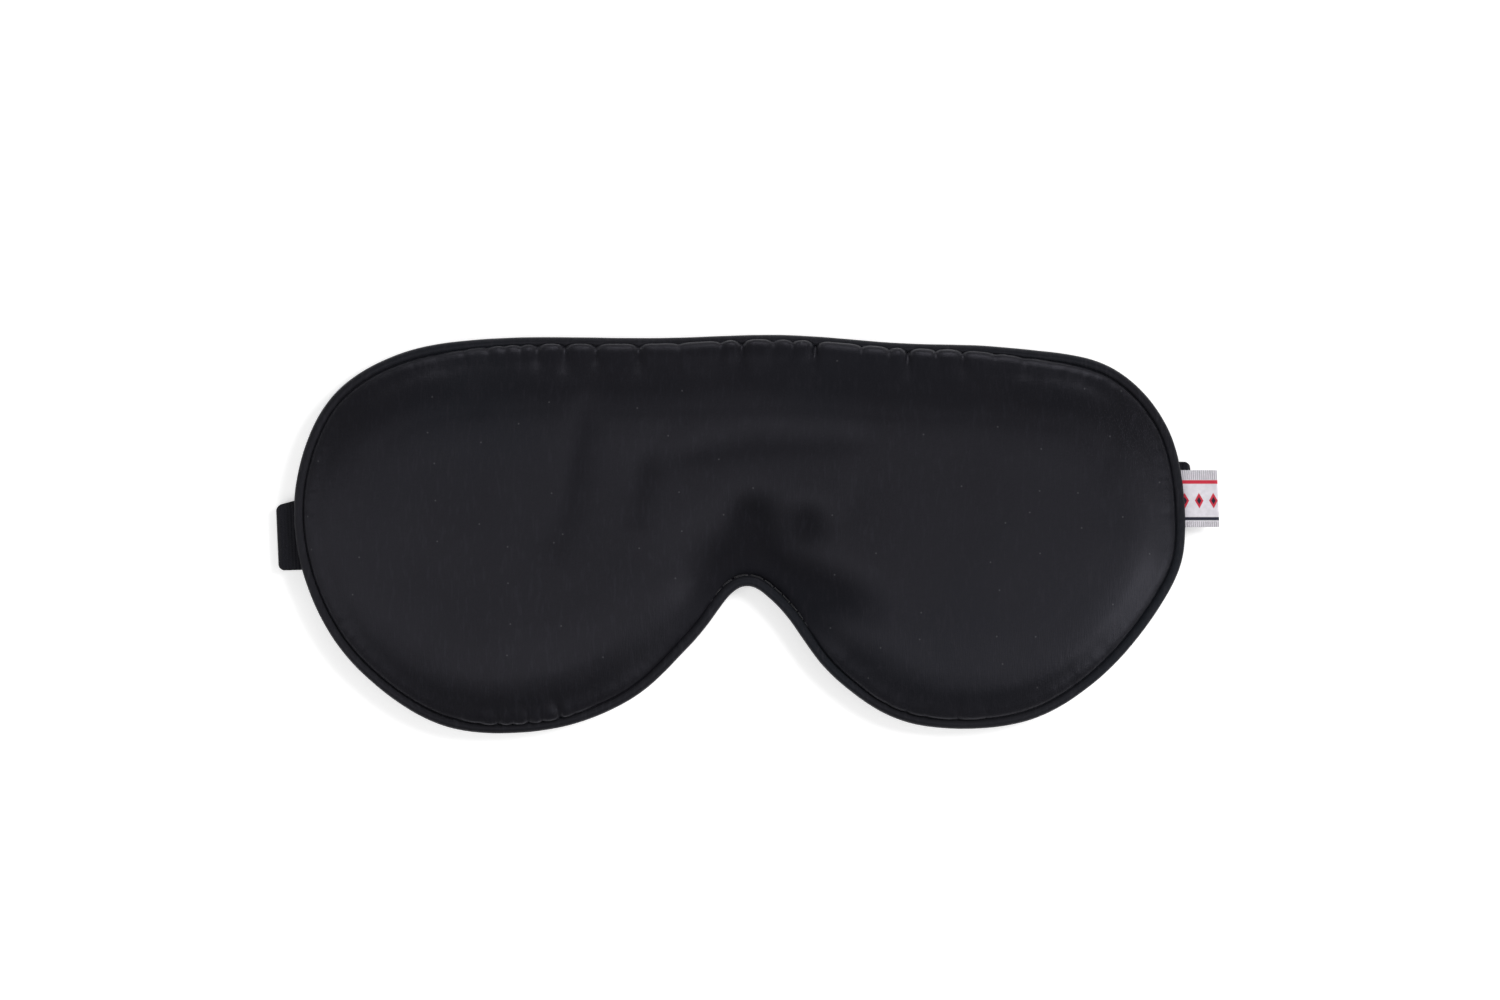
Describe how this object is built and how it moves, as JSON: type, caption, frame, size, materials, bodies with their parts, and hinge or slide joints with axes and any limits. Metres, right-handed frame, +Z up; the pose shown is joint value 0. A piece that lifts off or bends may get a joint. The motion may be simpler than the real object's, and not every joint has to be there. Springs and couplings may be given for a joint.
{
  "type": "sleep mask",
  "caption": "Padded satin sleep mask with a piped edge, a nose notch, a folded side label and an adjustable elastic head strap that lies flat behind it.",
  "frame": {"origin": "under the middle of the whole mask, on the surface it lies on", "axes": "+X towards the side with the label, +Y towards the brow edge, +Z up out of the front panel"},
  "size_m": [0.2252, 0.0948, 0.0117],
  "materials": {
    "satin": "black satin with a soft low sheen and a fine weave",
    "satin_piping": "black satin cut on the bias and rolled over a cord",
    "lining": "dense matt black lining cloth",
    "wadding": "soft white polyester wadding",
    "cord": "soft white cotton filler cord",
    "elastic": "black woven elastic, ribbed across its width",
    "plastic": "black moulded acetal with a low gloss",
    "thread": "black polyester sewing thread",
    "label_ribbon": "white woven ribbon with one red and one navy stripe"
  },
  "bodies": {
    "mask": {"front_panel": "satin", "blackout_lining": "lining", "filling": "wadding", "back_panel": "satin", "piping_cover": "satin_piping", "piping_cord": "cord", "seam_thread": "thread", "strap_end_left": "elastic", "tab_end_right": "elastic", "seam_tack_left": "thread", "seam_tack_right": "thread", "label_seam_end": "label_ribbon"},
    "strap": {"strap_span_left": "elastic", "strap_band": "elastic", "strap_return": "elastic", "ring": "plastic", "tab_loop": "elastic", "tab_tack": "thread", "tab_span": "elastic"},
    "slider": {"slider": "plastic", "strap_loop": "elastic", "slider_tack": "thread"},
    "label": {"label": "label_ribbon"}
  },
  "joints": [
    {"name": "strap_pull", "type": "slide", "parent": "mask", "child": "strap", "axis": [0, 0, -1], "range_m": [0, 0.04], "stiffness_N_per_m": 65, "deforming": ["strap_span_left", "tab_span"]},
    {"name": "slider_adjust", "type": "slide", "parent": "strap", "child": "slider", "axis": [0.999, 0.0436, 0], "range_m": [-0.02, 0.05], "deforming": ["strap_return"]},
    {"name": "label_flap", "type": "hinge", "parent": "mask", "child": "label", "pos_m": [0.10515, 0.00847, 0.0038], "axis": [0.0436, -0.999, 0], "range_deg": [0, 90], "stiffness_Nm_per_rad": 0.0001}
  ]
}
